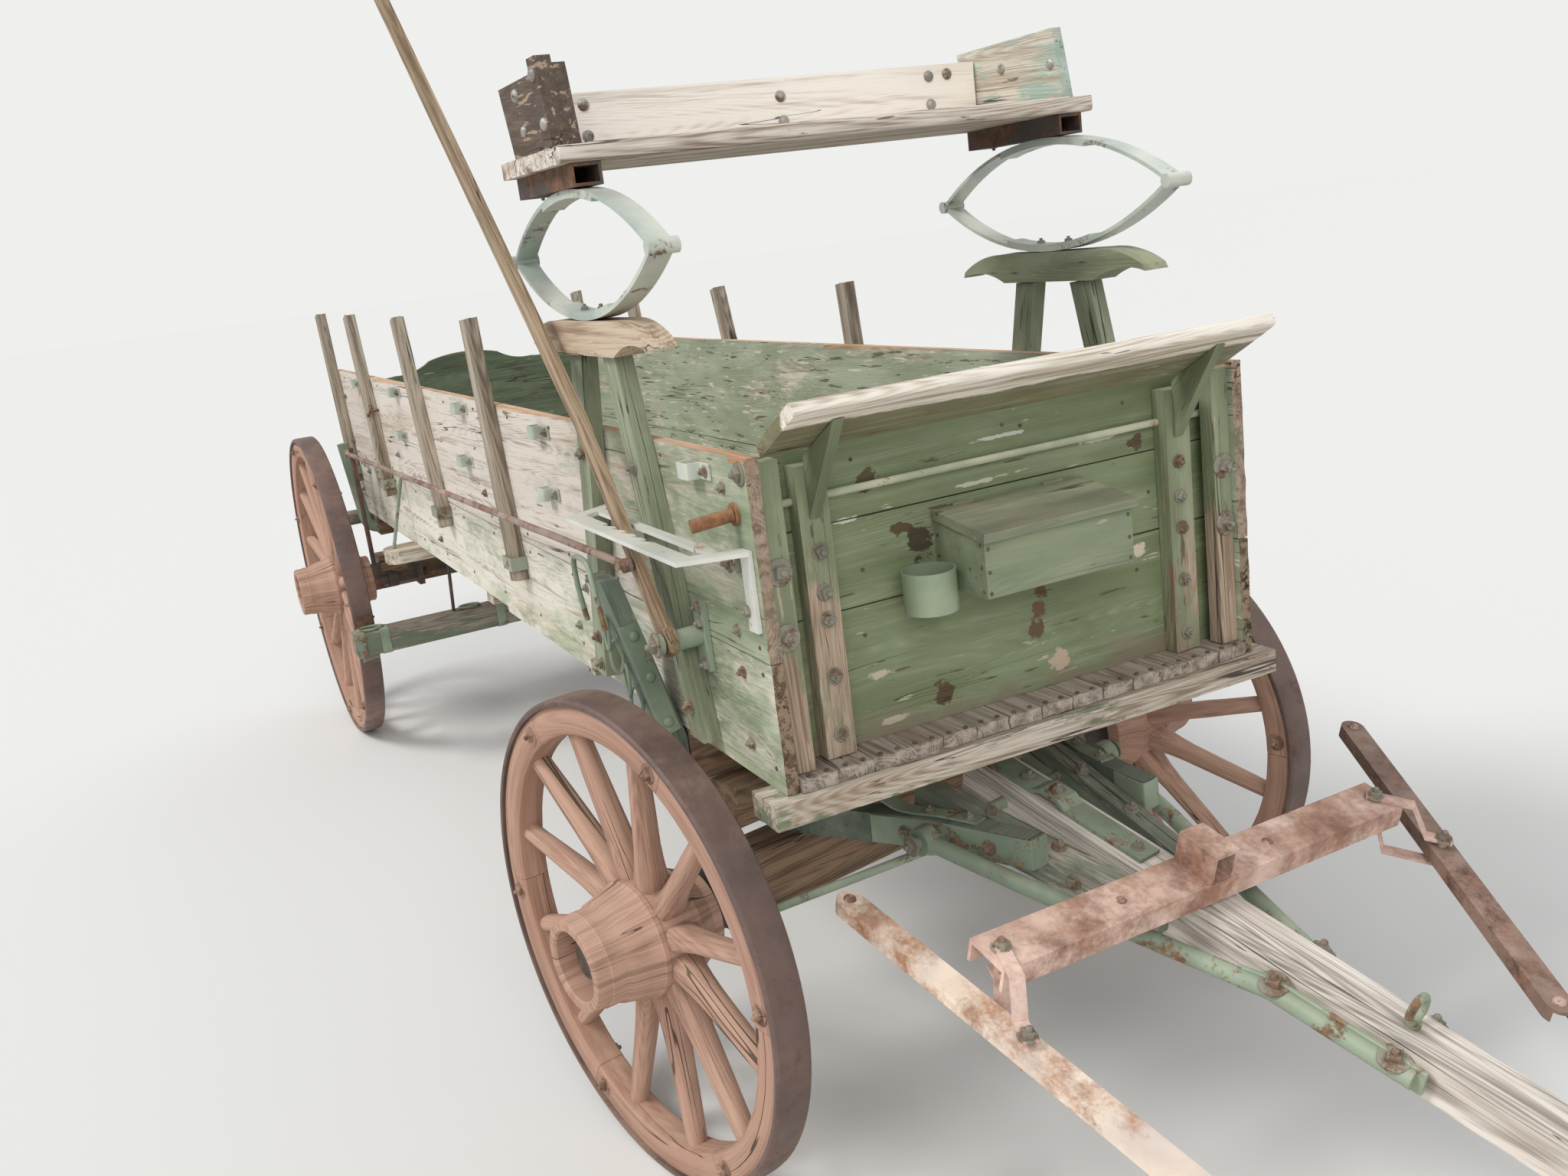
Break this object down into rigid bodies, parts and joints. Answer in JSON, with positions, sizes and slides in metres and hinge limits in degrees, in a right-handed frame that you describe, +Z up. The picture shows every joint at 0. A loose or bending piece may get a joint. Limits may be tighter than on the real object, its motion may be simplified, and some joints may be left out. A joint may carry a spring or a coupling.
{
  "type": "horse-drawn farm wagon",
  "caption": "Horse-drawn farm wagon: long green box with leaning stakes, sprung seat, dished spoked wheels, brake lever with a notched bar, tongue, doubletree and singletrees.",
  "frame": {"origin": "on the ground, at the bottom centre of the bounding box", "axes": "+X forward, +Y left, +Z up"},
  "size_m": [6.4897, 1.8023, 2.5452],
  "materials": {
    "green_paint": "weathered sage green paint over wood",
    "dark_green": "old dark green paint over wood",
    "grey_wood": "bare weathered grey wood",
    "brown_wood": "oiled orange-brown timber",
    "tan_wood": "bare tan wood",
    "red_paint": "faded terracotta paint over wood",
    "pale_iron": "pale green paint over iron",
    "rusty_iron": "rusted iron",
    "dark_steel": "dark worn iron",
    "tyre_iron": "purple-brown rusted tyre iron"
  },
  "bodies": {
    "bed": {"floor_boards": "grey_wood", "cross_sills": "grey_wood", "side_boards_lower": "green_paint", "side_boards_upper": "green_paint", "endgate_front": "dark_green", "endgate_cleats": "grey_wood", "endgate_rod": "rusty_iron", "footboard": "green_paint", "footboard_brackets": "pale_iron", "endgate_rear": "dark_green", "stakes": "green_paint", "stake_staples": "rusty_iron", "side_braces": "rusty_iron", "seat_posts": "green_paint", "seat_blocks": "grey_wood", "seat_springs": "pale_iron", "seat_bearers": "rusty_iron", "seat_plank": "grey_wood", "seat_back": "grey_wood", "seat_ends": "grey_wood", "tool_box": "green_paint", "cup": "rusty_iron", "front_bolster": "brown_wood", "bolster_stakes": "dark_green", "king_bolt": "dark_steel", "reach": "brown_wood", "rear_axle": "brown_wood", "rear_bolster": "dark_green", "rear_hounds": "dark_green", "lever_bracket": "dark_steel", "rocker_hangers": "dark_steel", "brake_ratchet": "rusty_iron", "brake_beam": "brown_wood"},
    "fore_carriage": {"front_axle": "brown_wood", "front_hounds": "dark_green", "front_stays": "pale_iron", "sand_board": "brown_wood"},
    "wheel_front_right": {"wheel_front_right": "red_paint", "tyre_front_right": "tyre_iron"},
    "wheel_front_left": {"wheel_front_left": "red_paint", "tyre_front_left": "tyre_iron"},
    "wheel_rear_right": {"wheel_rear_right": "red_paint", "tyre_rear_right": "tyre_iron"},
    "wheel_rear_left": {"wheel_rear_left": "red_paint", "tyre_rear_left": "tyre_iron"},
    "tongue": {"tongue_pole": "grey_wood", "tongue_futchels": "grey_wood", "tongue_pipes": "pale_iron"},
    "doubletree": {"doubletree": "rusty_iron"},
    "strap_right": {"strap_right": "rusty_iron"},
    "strap_left": {"strap_left": "rusty_iron"},
    "singletree_right": {"singletree_right": "rusty_iron"},
    "singletree_left": {"singletree_left": "rusty_iron"},
    "tool_box_lid": {"tool_box_lid": "grey_wood"},
    "brake_lever": {"brake_lever": "tan_wood"},
    "brake_rod": {"brake_rod": "rusty_iron"},
    "brake_rocker": {"rocker_shaft": "rusty_iron"}
  },
  "joints": [
    {"name": "steering", "type": "hinge", "parent": "bed", "child": "fore_carriage", "pos_m": [0.67573, 0, 0.7], "axis": [0, 0, 1], "range_deg": [-26, 4]},
    {"name": "wheel_front_right", "type": "hinge", "parent": "fore_carriage", "child": "wheel_front_right", "pos_m": [0.8177, -0.73033, 0.5], "axis": [-0.1908, 0.9816, 0], "continuous": true},
    {"name": "wheel_front_left", "type": "hinge", "parent": "fore_carriage", "child": "wheel_front_left", "pos_m": [0.53377, 0.73033, 0.5], "axis": [-0.1908, 0.9816, 0], "continuous": true},
    {"name": "wheel_rear_right", "type": "hinge", "parent": "bed", "child": "wheel_rear_right", "pos_m": [-2.62427, -0.744, 0.612], "axis": [0, 1, 0], "continuous": true},
    {"name": "wheel_rear_left", "type": "hinge", "parent": "bed", "child": "wheel_rear_left", "pos_m": [-2.62427, 0.744, 0.612], "axis": [0, 1, 0], "continuous": true},
    {"name": "tongue_lift", "type": "hinge", "parent": "fore_carriage", "child": "tongue", "pos_m": [0.99967, 0.06297, 0.625], "axis": [0.1908, -0.9816, 0], "range_deg": [0, 28]},
    {"name": "doubletree_swing", "type": "hinge", "parent": "tongue", "child": "doubletree", "pos_m": [1.4368, 0.14794, 0.57918], "axis": [0.2541, 0.0494, 0.9659], "range_deg": [-8, 5]},
    {"name": "strap_right_swing", "type": "hinge", "parent": "doubletree", "child": "strap_right", "pos_m": [1.46722, -0.3158, 0.59489], "axis": [0.2541, 0.0494, 0.9659], "range_deg": [-8, 18]},
    {"name": "strap_left_swing", "type": "hinge", "parent": "doubletree", "child": "strap_left", "pos_m": [1.40639, 0.61168, 0.56347], "axis": [-0.2541, -0.0494, -0.9659], "range_deg": [-8, 12]},
    {"name": "singletree_right_swing", "type": "hinge", "parent": "strap_right", "child": "singletree_right", "pos_m": [1.583, -0.35582, 0.50437], "axis": [0.2541, 0.0494, 0.9659], "range_deg": [0, 15]},
    {"name": "singletree_left_swing", "type": "hinge", "parent": "strap_left", "child": "singletree_left", "pos_m": [1.49117, 0.70161, 0.47446], "axis": [-0.2541, -0.0494, -0.9659], "range_deg": [-20, 10]},
    {"name": "tool_box_lid_hinge", "type": "hinge", "parent": "bed", "child": "tool_box_lid", "pos_m": [1.12213, 0, 1.285], "axis": [0, -1, 0], "range_deg": [0, 70]},
    {"name": "brake_lever_pivot", "type": "hinge", "parent": "bed", "child": "brake_lever", "pos_m": [0.90073, -0.605, 1.098], "axis": [0, 1, 0], "range_deg": [-10, 30]},
    {"name": "brake_rod_pivot", "type": "hinge", "parent": "brake_lever", "child": "brake_rod", "pos_m": [0.79573, -0.628, 1.233], "axis": [0, 1, 0], "range_deg": [-30.99, 10.34]},
    {"name": "brake_rocker_pivot", "type": "hinge", "parent": "bed", "child": "brake_rocker", "pos_m": [-2.40427, -0.5, 0.635], "axis": [0, 1, 0], "range_deg": [-2.58, 7.72]}
  ],
  "couplings": [
    {"joint": "brake_rod_pivot", "follows": "brake_lever_pivot", "ratio": -1.0328},
    {"joint": "brake_rocker_pivot", "follows": "brake_lever_pivot", "ratio": 0.2571}
  ]
}
